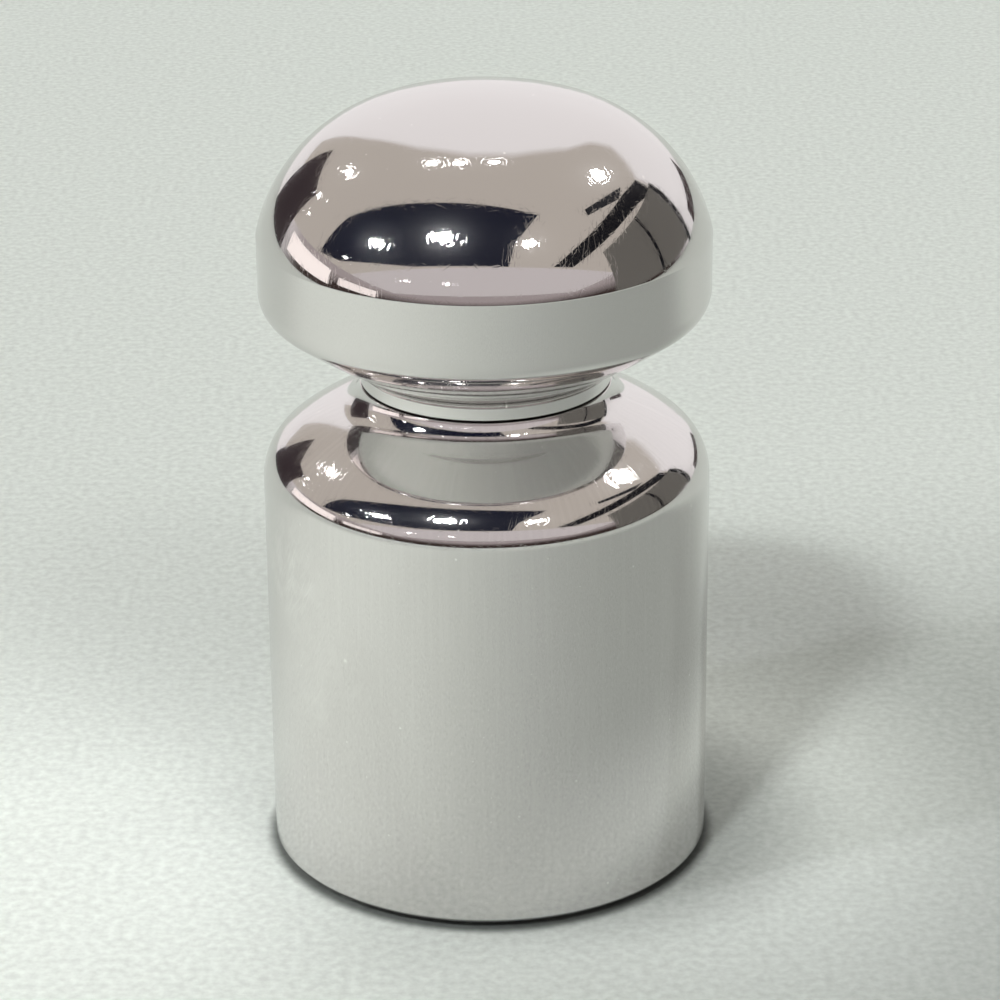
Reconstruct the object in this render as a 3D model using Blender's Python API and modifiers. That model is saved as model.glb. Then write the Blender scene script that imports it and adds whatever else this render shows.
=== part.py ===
"""Roulette win marker: a solid turned weight that the dealer stands on the winning number.

A base and a mushroom knob, turned from one size of brass bar and chrome plated, meet on a flat seat
inside the finger groove.  A cap screw from below draws them together, with a spring washer under its
head, and a felt pad glued into the foot covers the screw.

Metres, +Z up.  The origin is the middle of the felt's underside, where the marker stands.
"""

import math

import bmesh
import bpy

# Bar that both the base and the knob are turned from
BAR_RADIUS = 0.0160

# Base: a plain cylinder with a rounded shoulder
BASE_WALL_HEIGHT = 0.02825
BASE_EDGE_RADIUS = 0.0004
SHOULDER_EDGE_RADIUS = 0.0041
SHOULDER_EDGE_TILT = math.radians(52.0)
SHOULDER_CROWN_RADIUS = 0.0145

# Neck: a deep cove below, a short wall, and a small fillet under the knob
NECK_RADIUS = 0.0089
COVE_RADIUS = 0.0025
NECK_WALL_HEIGHT = 0.0003
NECK_FILLET_RADIUS = 0.0008

# The seam lies a little below the middle of the cove
SEAM_DROP = 0.0005
SEAM_GAP = 0.0003

# Knob: a rounded underside, a straight band and a dome
UNDERSIDE_CROWN_RADIUS = 0.0614
UNDERSIDE_EDGE_RADIUS = 0.0022
UNDERSIDE_EDGE_TILT = math.radians(54.0)
BAND_HEIGHT = 0.0040
RIM_EDGE_RADIUS = 0.0005
RIM_TILT = math.radians(13.4)
DOME_SIDE_RADIUS = 0.0120
DOME_CROWN_RADIUS = 0.0266

# Spigot on the knob, which centres it in a socket in the base
SPIGOT_RADIUS = 0.0060
SPIGOT_LENGTH = 0.0060
SPIGOT_CHAMFER = 0.0005
SPIGOT_CLEARANCE = 0.0003
SOCKET_END_CLEARANCE = 0.0006

# Socket-head cap screw with an 8 mm coarse thread
THREAD_CREST_RADIUS = 0.0040
THREAD_DEPTH = 0.0007
THREAD_PITCH = 0.00125
THREAD_LENGTH = 0.0130
THREAD_CLEARANCE = 0.0003
SCREW_LENGTH = 0.0300
SCREW_HOLE_CLEARANCE = 0.0005
HEAD_RADIUS = 0.0065
HEAD_HEIGHT = 0.0080
HEAD_CHAMFER = 0.0005
HEAD_SET_IN = 0.0008
KEY_WIDTH = 0.0060
KEY_DEPTH = 0.0040
TAP_RUNOUT = 0.0020
DRILL_POINT_TILT = math.radians(31.0)

# Split spring washer, tightened flat
WASHER_RADIUS = 0.0074
WASHER_THICKNESS = 0.0020
WASHER_BORE_CLEARANCE = 0.0003
WASHER_SLIT = 0.0012
WASHER_SLIT_LEAN = math.radians(25.0)
COUNTERBORE_CLEARANCE = 0.0006
SEAT_GAP = 0.0003

# Felt pad, glued into a recess in the foot and standing slightly proud of it
PAD_THICKNESS = 0.0013
PAD_PROUD = 0.0004
PAD_CLEARANCE = 0.0003
PAD_EDGE_RADIUS = 0.0003
GLUE_GAP = 0.0003
FOOT_RIM_WIDTH = 0.0015

# Fineness of the turned faces
TURN_STEPS = 64
THREAD_STEPS = 24
ROWS_PER_PITCH = 4
ARC_STEP = math.radians(6.0)
EDGE_STEP = math.radians(30.0)

# Heights worked out from the foot upwards
FOOT_HEIGHT = PAD_PROUD
RECESS_CEILING = PAD_THICKNESS + GLUE_GAP
HEAD_BOTTOM = RECESS_CEILING + HEAD_SET_IN
HEAD_SEAT = HEAD_BOTTOM + HEAD_HEIGHT
WASHER_BOTTOM = HEAD_SEAT + SEAT_GAP
WASHER_TOP = WASHER_BOTTOM + WASHER_THICKNESS
COUNTERBORE_CEILING = WASHER_TOP + SEAT_GAP
SCREW_TIP = HEAD_SEAT + SCREW_LENGTH
THREAD_START = SCREW_TIP - THREAD_LENGTH
WALL_TOP = FOOT_HEIGHT + BASE_WALL_HEIGHT

# Threads are made of rows of points, a fixed share of a pitch apart
THREAD_ROW = THREAD_PITCH / ROWS_PER_PITCH

# Radii worked out from what they fit
THREAD_ROOT_RADIUS = THREAD_CREST_RADIUS - THREAD_DEPTH
SCREW_HOLE_RADIUS = THREAD_CREST_RADIUS + SCREW_HOLE_CLEARANCE
WASHER_BORE_RADIUS = THREAD_CREST_RADIUS + WASHER_BORE_CLEARANCE
COUNTERBORE_RADIUS = max(HEAD_RADIUS, WASHER_RADIUS) + COUNTERBORE_CLEARANCE
SOCKET_RADIUS = SPIGOT_RADIUS + SPIGOT_CLEARANCE
RECESS_RADIUS = BAR_RADIUS - FOOT_RIM_WIDTH
PAD_RADIUS = RECESS_RADIUS - PAD_CLEARANCE

MARKER_NAME = "roulette_win_marker"


def clear_scene():
    for obj in list(bpy.data.objects):
        bpy.data.objects.remove(obj, do_unlink=True)


def new_collection(name):
    collection = bpy.data.collections.new(name)
    bpy.context.scene.collection.children.link(collection)
    return collection


def new_material(name, colour, metallic, roughness):
    material = bpy.data.materials.new(name)
    material.use_nodes = True
    shader = material.node_tree.nodes["Principled BSDF"]
    shader.inputs["Base Color"].default_value = (*colour, 1.0)
    shader.inputs["Metallic"].default_value = metallic
    shader.inputs["Roughness"].default_value = roughness
    return material


def along(centre, distance, tilt):
    """The point this far from a centre (radius, height), at this tilt above the horizontal."""
    return centre[0] + distance * math.cos(tilt), centre[1] + distance * math.sin(tilt)


def arc(centre, radius, start, end, step=ARC_STEP):
    """Points round a centre from one tilt to another, both ends included."""
    count = max(1, math.ceil(abs(end - start) / step))
    return [along(centre, radius, start + (end - start) * i / count) for i in range(count + 1)]


def cove(centre, radius, start, end):
    """Points on the hollow side of a circle, whose face tilts from start to end."""
    return arc(centre, radius, start + math.pi, end + math.pi)


def shoulder_crown_centre():
    edge_centre = (BAR_RADIUS - SHOULDER_EDGE_RADIUS, WALL_TOP)
    return along(edge_centre, SHOULDER_EDGE_RADIUS - SHOULDER_CROWN_RADIUS, SHOULDER_EDGE_TILT)


def cove_centre():
    """The cove touches the neck's wall on one side and the shoulder's crown on the other."""
    crown = shoulder_crown_centre()
    radius = NECK_RADIUS + COVE_RADIUS
    reach = SHOULDER_CROWN_RADIUS + COVE_RADIUS
    return radius, crown[1] + math.sqrt(reach**2 - (radius - crown[0]) ** 2)


def tilt_between(low, high):
    """The tilt of the line from one point (radius, height) to another."""
    return math.atan2(high[1] - low[1], high[0] - low[0])


def seam_height(side):
    """The seat on the base (side -1) or on the knob (side +1)."""
    return cove_centre()[1] - SEAM_DROP + side * SEAM_GAP / 2


def cove_tilt_at(height):
    return math.asin((cove_centre()[1] - height) / COVE_RADIUS)


def turned(name, profile, loop, steps):
    """A profile of (radius, height) points, listed down its outer side, turned about Z."""
    mesh = bpy.data.meshes.new(name)
    last = len(profile) if loop else len(profile) - 1
    edges = [(i, (i + 1) % len(profile)) for i in range(last)]
    mesh.from_pydata([(radius, 0.0, height) for radius, height in profile], edges, [])
    obj = bpy.data.objects.new(name, mesh)
    screw = obj.modifiers.new("Turn", "SCREW")
    screw.axis = "Z"
    screw.steps = steps
    screw.render_steps = steps
    screw.use_smooth_shade = True
    screw.use_merge_vertices = True
    screw.merge_threshold = 1e-6
    return obj


def freeze(obj, collection):
    """Links an object and replaces its modifiers with the mesh that they make."""
    collection.objects.link(obj)
    bpy.context.view_layer.update()
    graph = bpy.context.evaluated_depsgraph_get()
    mesh = bpy.data.meshes.new_from_object(obj.evaluated_get(graph))
    mesh.name = obj.name
    obj.modifiers.clear()
    obj.data = mesh


def cut(obj, cutter, name):
    difference = obj.modifiers.new(name, "BOOLEAN")
    difference.operation = "DIFFERENCE"
    difference.solver = "EXACT"
    difference.object = cutter


def add_cutter(obj, cutters):
    if obj.name not in cutters.objects:
        cutters.objects.link(obj)
    obj.hide_render = True
    obj.display_type = "WIRE"
    return obj


def add_part(obj, parts, material, parent):
    if obj.name not in parts.objects:
        parts.objects.link(obj)
    obj.data.materials.clear()
    obj.data.materials.append(material)
    obj.parent = parent
    return obj


def thread_rows(bottom, top):
    """Heights that every thread shares, a row apart and at least half a row from either end."""
    first = math.ceil(bottom / THREAD_ROW + 0.5)
    last = math.floor(top / THREAD_ROW - 0.5)
    return [THREAD_ROW * i for i in range(last, first - 1, -1)]


def cut_thread(mesh, bottom, top, root):
    """Moves each row of points between two ends in or out to the face of a right-hand thread."""
    margin = THREAD_ROW / 4
    for vertex in mesh.vertices:
        x, y, height = vertex.co
        if not bottom + margin < height < top - margin:
            continue
        turn = (height / THREAD_PITCH - math.atan2(y, x) / math.tau) % 1.0
        radius = root + THREAD_DEPTH * (1.0 - abs(2.0 * turn - 1.0))
        scale = radius / math.hypot(x, y)
        vertex.co = (x * scale, y * scale, height)


def make_base():
    crown = shoulder_crown_centre()
    hollow = cove_centre()
    seat = seam_height(-1)
    socket_floor = seam_height(1) - SPIGOT_LENGTH - SOCKET_END_CLEARANCE
    crown_end = tilt_between(crown, hollow)
    edge_centre = (BAR_RADIUS - SHOULDER_EDGE_RADIUS, WALL_TOP)
    foot_centre = (BAR_RADIUS - BASE_EDGE_RADIUS, FOOT_HEIGHT + BASE_EDGE_RADIUS)
    profile = [(SOCKET_RADIUS, seat)]
    profile += cove(hollow, COVE_RADIUS, cove_tilt_at(seat), crown_end)
    profile += arc(crown, SHOULDER_CROWN_RADIUS, crown_end, SHOULDER_EDGE_TILT)[1:]
    profile += arc(edge_centre, SHOULDER_EDGE_RADIUS, SHOULDER_EDGE_TILT, 0.0)[1:]
    profile += arc(foot_centre, BASE_EDGE_RADIUS, 0.0, -math.pi / 2, EDGE_STEP)
    profile += [
        (RECESS_RADIUS, FOOT_HEIGHT),
        (RECESS_RADIUS, RECESS_CEILING),
        (COUNTERBORE_RADIUS, RECESS_CEILING),
        (COUNTERBORE_RADIUS, COUNTERBORE_CEILING),
        (SCREW_HOLE_RADIUS, COUNTERBORE_CEILING),
        (SCREW_HOLE_RADIUS, socket_floor),
        (SOCKET_RADIUS, socket_floor),
    ]
    return turned("base_body", profile, True, TURN_STEPS)


def dome_points(band_top):
    """The dome from its apex down: a crown about the axis, a side arc and the rim's soft edge."""
    rim_centre = (BAR_RADIUS - RIM_EDGE_RADIUS, band_top)
    side_centre = along(rim_centre, RIM_EDGE_RADIUS - DOME_SIDE_RADIUS, RIM_TILT)
    crown_start = math.acos(side_centre[0] / (DOME_CROWN_RADIUS - DOME_SIDE_RADIUS))
    crown_centre = along(side_centre, DOME_SIDE_RADIUS - DOME_CROWN_RADIUS, crown_start)
    points = [(0.0, crown_centre[1] + DOME_CROWN_RADIUS)]
    points += arc(crown_centre, DOME_CROWN_RADIUS, math.pi / 2, crown_start)[1:]
    points += arc(side_centre, DOME_SIDE_RADIUS, crown_start, RIM_TILT)[1:]
    points += arc(rim_centre, RIM_EDGE_RADIUS, RIM_TILT, 0.0)[1:]
    return points


def make_knob(cutters):
    hollow = cove_centre()
    seat = seam_height(1)
    fillet = (NECK_RADIUS + NECK_FILLET_RADIUS, hollow[1] + NECK_WALL_HEIGHT)
    edge_to_crown = UNDERSIDE_CROWN_RADIUS - UNDERSIDE_EDGE_RADIUS
    edge_radius = BAR_RADIUS - UNDERSIDE_EDGE_RADIUS
    crown_radius = edge_radius - edge_to_crown * math.cos(UNDERSIDE_EDGE_TILT)
    reach = UNDERSIDE_CROWN_RADIUS + NECK_FILLET_RADIUS
    crown_height = fillet[1] + math.sqrt(reach**2 - (fillet[0] - crown_radius) ** 2)
    crown = (crown_radius, crown_height)
    edge_centre = along(crown, edge_to_crown, -UNDERSIDE_EDGE_TILT)
    crown_end = tilt_between(crown, fillet)
    spigot_end = seat - SPIGOT_LENGTH

    profile = dome_points(edge_centre[1] + BAND_HEIGHT)
    profile += arc(edge_centre, UNDERSIDE_EDGE_RADIUS, 0.0, -UNDERSIDE_EDGE_TILT)
    profile += arc(crown, UNDERSIDE_CROWN_RADIUS, -UNDERSIDE_EDGE_TILT, crown_end)[1:]
    profile += cove(fillet, NECK_FILLET_RADIUS, crown_end, 0.0)[1:]
    profile += cove(hollow, COVE_RADIUS, 0.0, cove_tilt_at(seat))
    profile += [
        (SPIGOT_RADIUS, seat),
        (SPIGOT_RADIUS, spigot_end + SPIGOT_CHAMFER),
        (SPIGOT_RADIUS - SPIGOT_CHAMFER, spigot_end),
        (0.0, spigot_end),
    ]
    knob = turned("knob", profile, False, TURN_STEPS)
    cut(knob, make_tapped_hole(spigot_end, cutters), "Tapped hole")
    return knob


def make_tapped_hole(mouth, cutters):
    """The screw's own thread, larger all round by the clearance, run on past both ends."""
    root = THREAD_ROOT_RADIUS + THREAD_CLEARANCE
    top = SCREW_TIP + TAP_RUNOUT
    bottom = mouth - THREAD_PITCH
    point_rise = root * math.tan(DRILL_POINT_TILT)
    profile = [(0.0, top + point_rise), (root, top)]
    profile += [(root, height) for height in thread_rows(bottom, top)]
    profile += [(root, bottom), (0.0, bottom)]
    hole = turned("tapped_hole_cutter", profile, False, THREAD_STEPS)
    freeze(hole, cutters)
    cut_thread(hole.data, bottom, top, root)
    return add_cutter(hole, cutters)


def make_screw(parts, cutters):
    profile = [(0.0, SCREW_TIP), (THREAD_ROOT_RADIUS, SCREW_TIP)]
    profile += [(THREAD_ROOT_RADIUS, height) for height in thread_rows(THREAD_START, SCREW_TIP)]
    profile += [
        (THREAD_CREST_RADIUS, THREAD_START),
        (THREAD_CREST_RADIUS, HEAD_SEAT),
        (HEAD_RADIUS, HEAD_SEAT),
        (HEAD_RADIUS, HEAD_BOTTOM + HEAD_CHAMFER),
        (HEAD_RADIUS - HEAD_CHAMFER, HEAD_BOTTOM),
        (0.0, HEAD_BOTTOM),
    ]
    screw = turned("clamp_screw", profile, False, THREAD_STEPS)
    freeze(screw, parts)
    cut_thread(screw.data, THREAD_START, SCREW_TIP, THREAD_ROOT_RADIUS)
    cut(screw, make_key_socket(cutters), "Key socket")
    return screw


def make_key_socket(cutters):
    """A hexagonal socket for the key, open at the bottom of the head."""
    mesh = bpy.data.meshes.new("key_socket_cutter")
    shape = bmesh.new()
    corner_radius = KEY_WIDTH / math.sqrt(3.0)
    bmesh.ops.create_cone(
        shape,
        cap_ends=True,
        segments=6,
        radius1=corner_radius,
        radius2=corner_radius,
        depth=2.0 * KEY_DEPTH,
    )
    shape.to_mesh(mesh)
    shape.free()
    socket = bpy.data.objects.new("key_socket_cutter", mesh)
    socket.location.z = HEAD_BOTTOM
    return add_cutter(socket, cutters)


def make_washer(cutters):
    profile = [
        (WASHER_BORE_RADIUS, WASHER_TOP),
        (WASHER_RADIUS, WASHER_TOP),
        (WASHER_RADIUS, WASHER_BOTTOM),
        (WASHER_BORE_RADIUS, WASHER_BOTTOM),
    ]
    washer = turned("spring_washer", profile, True, TURN_STEPS)
    cut(washer, make_washer_slit(cutters), "Slit")
    return washer


def make_washer_slit(cutters):
    """A leaning slot across one side of the ring."""
    mesh = bpy.data.meshes.new("washer_slit_cutter")
    shape = bmesh.new()
    bmesh.ops.create_cube(shape, size=1.0)
    size = (WASHER_RADIUS, WASHER_SLIT, 3.0 * WASHER_THICKNESS)
    bmesh.ops.scale(shape, vec=size, verts=shape.verts)
    shape.to_mesh(mesh)
    shape.free()
    slit = bpy.data.objects.new("washer_slit_cutter", mesh)
    slit.location = (
        (WASHER_BORE_RADIUS + WASHER_RADIUS) / 2,
        0.0,
        (WASHER_BOTTOM + WASHER_TOP) / 2,
    )
    slit.rotation_euler.x = WASHER_SLIT_LEAN
    return add_cutter(slit, cutters)


def make_pad():
    edge = PAD_RADIUS - PAD_EDGE_RADIUS
    profile = [(0.0, PAD_THICKNESS)]
    profile += arc((edge, PAD_THICKNESS - PAD_EDGE_RADIUS), PAD_EDGE_RADIUS, math.pi / 2, 0.0, EDGE_STEP)
    profile += arc((edge, PAD_EDGE_RADIUS), PAD_EDGE_RADIUS, 0.0, -math.pi / 2, EDGE_STEP)
    profile += [(0.0, 0.0)]
    return turned("felt_pad", profile, False, TURN_STEPS)


def main():
    clear_scene()
    parts = new_collection(MARKER_NAME)
    cutters = new_collection("cutters")
    marker = bpy.data.objects.new(MARKER_NAME + "_origin", None)
    parts.objects.link(marker)

    chrome = new_material("chrome_plated_brass", (0.66, 0.64, 0.64), 1.0, 0.05)
    steel = new_material("zinc_plated_steel", (0.42, 0.42, 0.43), 1.0, 0.35)
    felt = new_material("black_wool_felt", (0.02, 0.02, 0.022), 0.0, 0.95)

    add_part(make_base(), parts, chrome, marker)
    add_part(make_knob(cutters), parts, chrome, marker)
    add_part(make_screw(parts, cutters), parts, steel, marker)
    add_part(make_washer(cutters), parts, steel, marker)
    add_part(make_pad(), parts, felt, marker)


if __name__ == "__main__":
    main()
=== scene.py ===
"""Roulette win marker, dressed: polished chrome on the turned base and knob, felt under the foot.

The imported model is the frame. Each turned piece is worked out again on a fine grid from the same
arcs, so that the plating mirrors cleanly, and every piece gets its finish from nodes. Metres,
+Z up, -Y towards the camera.
"""

import math

import bpy
import numpy as np
from bpy.props import FloatProperty, FloatVectorProperty, PointerProperty
from mathutils import Matrix, Vector


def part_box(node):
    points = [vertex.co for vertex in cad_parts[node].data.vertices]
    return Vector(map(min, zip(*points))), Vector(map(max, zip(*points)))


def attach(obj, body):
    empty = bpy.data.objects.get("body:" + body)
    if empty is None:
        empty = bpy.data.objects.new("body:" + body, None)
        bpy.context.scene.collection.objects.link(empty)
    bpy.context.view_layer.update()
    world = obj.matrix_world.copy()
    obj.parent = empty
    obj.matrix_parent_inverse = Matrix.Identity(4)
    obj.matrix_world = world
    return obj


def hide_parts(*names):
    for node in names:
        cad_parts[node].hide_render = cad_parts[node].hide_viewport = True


bl_info = {
    "name": "Roulette Win Marker",
    "version": (1, 0, 0),
    "blender": (4, 5, 0),
    "location": "3D View > Sidebar > Marker",
    "description": "Builds a chrome roulette win marker round its packed frame",
    "category": "Add Mesh",
}

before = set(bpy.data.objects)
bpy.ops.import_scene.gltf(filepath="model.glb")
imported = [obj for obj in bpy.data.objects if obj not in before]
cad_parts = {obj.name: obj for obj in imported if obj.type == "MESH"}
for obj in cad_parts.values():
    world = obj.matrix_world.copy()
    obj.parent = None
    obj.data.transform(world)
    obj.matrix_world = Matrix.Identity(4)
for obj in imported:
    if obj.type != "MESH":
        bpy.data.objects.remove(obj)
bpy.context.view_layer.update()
BASE_LOW, BASE_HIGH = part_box("base_body")
KNOB_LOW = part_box("knob")[0]
PAD_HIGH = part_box("felt_pad")[1]
BODY = "root"

# Fineness of the turned grids
COLUMNS = 256
ROW_STEP = 0.00028
ARC_STEP = math.radians(2.0)
ARC_LEAST_POINTS = 3
WALL_ROWS = 48
BAND_ROWS = 16
SAME_POINT = 1e-8
SHARP_ANGLE = math.radians(35.0)
FLAT_MAP = "turned"

# Hidden fits, as in the solids
SPIGOT_RADIUS = 0.0060
SPIGOT_CHAMFER = 0.0005
SOCKET_RADIUS = 0.0063
SOCKET_FLOOR = 0.029447
SCREW_HOLE_RADIUS = 0.0045
COUNTERBORE_RADIUS = 0.0080
COUNTERBORE_CEILING = 0.0130
RECESS_RADIUS = 0.0145
RECESS_CEILING = 0.0016
TAP_ROOT_RADIUS = 0.0036
TAP_TOP = 0.0424
TAP_POINT_RISE = 0.00216
THREAD_DEPTH = 0.0007
THREAD_PITCH = 0.00125
ROWS_PER_PITCH = 4
# The thread stops this far below the end of its hole
THREAD_STOP = 1e-6
# The thread's turns are counted from +X, and the grid's columns from +Y
QUARTER_TURN = 0.25

# Spacing of the felt's hollows, over pi
PAD_WAVE = 0.0012


def linear(hex_colour):
    """The linear red, green and blue of an sRGB hex colour."""
    coded = np.array([int(hex_colour[i : i + 2], 16) for i in (1, 3, 5)]) / 255.0
    return tuple(np.where(coded <= 0.04045, coded / 12.92, ((coded + 0.055) / 1.055) ** 2.4))


def length(name, default, description):
    """A length in metres."""
    return FloatProperty(
        name=name, description=description, default=default, min=0.0, precision=5, unit="LENGTH"
    )


def angle(name, degrees, description):
    """An angle, given in degrees."""
    return FloatProperty(
        name=name, description=description, default=math.radians(degrees), subtype="ANGLE"
    )


def colour(name, hex_colour, description):
    """A colour, given as sRGB hex."""
    return FloatVectorProperty(
        name=name,
        description=description,
        default=linear(hex_colour),
        size=3,
        min=0.0,
        max=1.0,
        subtype="COLOR",
    )


def share(name, default, description):
    """A number from 0 to 1."""
    return FloatProperty(
        name=name, description=description, default=default, min=0.0, max=1.0, subtype="FACTOR"
    )


class MarkerSizes(bpy.types.PropertyGroup):
    """Sizes of the turned outside."""

    bar_radius: length(
        "Bar radius", BASE_HIGH.x, "Radius of the bar that base and knob are turned from"
    )
    foot_height: length("Foot height", BASE_LOW.z, "How far the felt holds the metal off the table")
    foot_edge: length("Foot edge", 0.0004, "Radius of the base's bottom edge")
    wall_top: length("Wall top", 0.02865, "Height at which the straight wall ends")
    shoulder_edge: length("Shoulder edge", 0.0041, "Radius of the shoulder's outer edge")
    shoulder_tilt: angle(
        "Shoulder tilt", 52.0, "Tilt at which the shoulder's edge runs into its crown"
    )
    shoulder_crown: length("Shoulder crown", 0.0145, "Radius of the shoulder's crown")
    neck_radius: length("Neck radius", 0.0089, "Radius of the neck at its thinnest")
    cove_radius: length("Cove radius", 0.0025, "Radius of the cove at the foot of the neck")
    neck_wall: length("Neck wall", 0.0003, "Straight part of the neck")
    neck_fillet: length("Neck fillet", 0.0008, "Radius of the fillet under the knob")
    seam_drop: length("Seam drop", 0.0005, "How far the seam lies below the middle of the cove")
    seam_gap: length("Seam gap", 0.00014, "Width of the fine line between base and knob")
    seam_break: length("Seam edge", 0.00008, "Radius of the broken edges at the seam")
    underside_crown: length("Underside crown", 0.0614, "Radius of the knob's underside")
    underside_edge: length("Underside edge", 0.0022, "Radius of the knob's lower edge")
    underside_tilt: angle(
        "Underside tilt", 54.0, "Tilt at which the lower edge runs into the underside"
    )
    band_height: length("Band height", 0.0040, "Height of the straight band round the knob")
    rim_edge: length("Rim edge", 0.0005, "Radius of the edge between band and dome")
    rim_tilt: angle("Rim tilt", 13.4, "Tilt of the dome where it leaves the band")
    dome_side: length("Dome side", 0.0120, "Radius of the dome's side")
    dome_crown: length("Dome crown", 0.0266, "Radius of the dome's crown")
    pad_radius: length("Pad radius", PAD_HIGH.x, "Radius of the felt pad")
    pad_thickness: length("Pad thickness", PAD_HIGH.z, "Thickness of the felt pad")
    pad_edge: length("Pad edge", 0.0003, "Radius of the felt pad's cut edge")
    pad_unevenness: length("Felt unevenness", 0.00005, "Depth of the hollows in the felt")


class MarkerFinish(bpy.types.PropertyGroup):
    """Colours and wear of the finishes."""

    chrome: colour("Chrome", "#d8d5d4", "Colour of the chrome plate")
    chrome_roughness: share("Polish", 0.014, "Roughness of the polished plate")
    chrome_hairline: share("Hairline", 0.08, "Roughness along a hairline scratch")
    chrome_haze: share(
        "Haze", 0.45, "Weight of the wide halo that the finest scratches throw round a lamp"
    )
    chrome_haze_roughness: share("Haze roughness", 0.30, "Width of that halo")
    chrome_dulled: share("Dulled", 0.24, "Roughness of rubbed places and specks on the plate")
    chrome_rubbed: colour(
        "Rubbed chrome", "#f4f2f0", "Colour of rubbed places and specks on the plate"
    )
    zinc: colour("Zinc", "#aeb0b2", "Colour of the zinc plate on the screw and washer")
    zinc_roughness: share("Zinc roughness", 0.36, "Roughness of the zinc plate")
    felt: colour("Felt", "#1d1d20", "Colour of the felt")
    felt_fibre: colour("Felt fibre", "#3a3a40", "Colour of the felt's loose fibres")


class MarkerStage(bpy.types.PropertyGroup):
    """The floor's colour and the camera."""

    floor: colour("Floor", "#ced6d1", "Colour of the floor")
    focal_length: FloatProperty(
        name="Focal length",
        description="Focal length in millimetres",
        default=133.77,
        min=1.0,
        unit="CAMERA",
    )
    camera_distance: length("Camera distance", 0.26836, "Distance from the camera to its target")
    camera_elevation: angle("Camera elevation", 22.9, "Camera's height above the horizon")
    camera_roll: angle("Camera roll", -0.516, "Turn of the camera about its own axis")
    target_x: FloatProperty(
        name="Target X", description="Target's place", default=0.00094, unit="LENGTH"
    )
    target_z: FloatProperty(
        name="Target Z", description="Target's height", default=0.026314, unit="LENGTH"
    )


def arc(centre, radius, start, end):
    """Points centre + radius (cos t, sin t), with t even from start to end.

    They lie no further apart than the steps for angle and length allow.
    """
    steps = max(abs(end - start) / ARC_STEP, radius * abs(end - start) / ROW_STEP)
    t = np.linspace(start, end, max(ARC_LEAST_POINTS, math.ceil(steps) + 1))
    return np.column_stack((centre[0] + radius * np.cos(t), centre[1] + radius * np.sin(t)))


def cove(centre, radius, start, end):
    """Points on the hollow side of a circle, whose face tilts from start to end."""
    return arc(centre, radius, start + math.pi, end + math.pi)


def wall(top, bottom, rows):
    """Points from top to bottom at shares (1 - cos(pi i / n)) / 2 that crowd towards both ends."""
    shares = (1.0 - np.cos(np.linspace(0.0, math.pi, rows))) / 2.0
    return np.outer(1.0 - shares, top) + np.outer(shares, bottom)


def chain(*runs):
    """The runs end to end, without points that repeat."""
    points = np.concatenate([np.atleast_2d(run) for run in runs])
    gaps = np.linalg.norm(np.diff(points, axis=0), axis=1)
    return points[np.concatenate(([True], gaps > SAME_POINT))]


def along(centre, distance, tilt):
    """The point (radius, height) this far from a centre, at this tilt above the horizontal."""
    return centre[0] + distance * math.cos(tilt), centre[1] + distance * math.sin(tilt)


def tilt_between(start, end):
    """The tilt above the horizontal of the line from start to end."""
    return math.atan2(end[1] - start[1], end[0] - start[0])


def shoulder_centres(s):
    """Centres of the shoulder's edge, its crown, and the cove that touches neck and crown."""
    edge = (s.bar_radius - s.shoulder_edge, s.wall_top)
    crown = along(edge, s.shoulder_edge - s.shoulder_crown, s.shoulder_tilt)
    radius = s.neck_radius + s.cove_radius
    reach = s.shoulder_crown + s.cove_radius
    hollow = (radius, crown[1] + math.sqrt(reach**2 - (radius - crown[0]) ** 2))
    return edge, crown, hollow


def seam_edge(s, hollow, side):
    """The seat's height, the centre of its broken edge and the tilt there.

    The side is -1 on the base and +1 on the knob.
    """
    seat = hollow[1] - s.seam_drop + side * s.seam_gap / 2.0
    height = seat + side * s.seam_break
    reach = s.cove_radius + s.seam_break
    centre = (hollow[0] - math.sqrt(reach**2 - (hollow[1] - height) ** 2), height)
    return seat, centre, tilt_between(centre, hollow)


def base_section(s):
    """(radius, height) round the base's section.

    It runs over the seat, cove, crown, shoulder, wall, foot, recess and bored holes.
    """
    edge, crown, hollow = shoulder_centres(s)
    seat, seam, seam_tilt = seam_edge(s, hollow, -1)
    crown_end = tilt_between(crown, hollow)
    foot = (s.bar_radius - s.foot_edge, s.foot_height + s.foot_edge)
    return chain(
        (SOCKET_RADIUS, seat),
        arc(seam, s.seam_break, math.pi / 2, seam_tilt),
        cove(hollow, s.cove_radius, seam_tilt, crown_end),
        arc(crown, s.shoulder_crown, crown_end, s.shoulder_tilt),
        arc(edge, s.shoulder_edge, s.shoulder_tilt, 0.0),
        wall((s.bar_radius, s.wall_top), (s.bar_radius, foot[1]), WALL_ROWS),
        arc(foot, s.foot_edge, 0.0, -math.pi / 2),
        (RECESS_RADIUS, s.foot_height),
        (RECESS_RADIUS, RECESS_CEILING),
        (COUNTERBORE_RADIUS, RECESS_CEILING),
        (COUNTERBORE_RADIUS, COUNTERBORE_CEILING),
        (SCREW_HOLE_RADIUS, COUNTERBORE_CEILING),
        (SCREW_HOLE_RADIUS, SOCKET_FLOOR),
        (SOCKET_RADIUS, SOCKET_FLOOR),
    )


def dome_section(s, band_top):
    """The dome from its apex down: a crown about the axis, a side arc and the rim's soft edge."""
    rim = (s.bar_radius - s.rim_edge, band_top)
    side = along(rim, s.rim_edge - s.dome_side, s.rim_tilt)
    start = math.acos(side[0] / (s.dome_crown - s.dome_side))
    crown = along(side, s.dome_side - s.dome_crown, start)
    return chain(
        (0.0, crown[1] + s.dome_crown),
        arc(crown, s.dome_crown, math.pi / 2, start)[1:],
        arc(side, s.dome_side, start, s.rim_tilt),
        arc(rim, s.rim_edge, s.rim_tilt, 0.0),
    )


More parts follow.
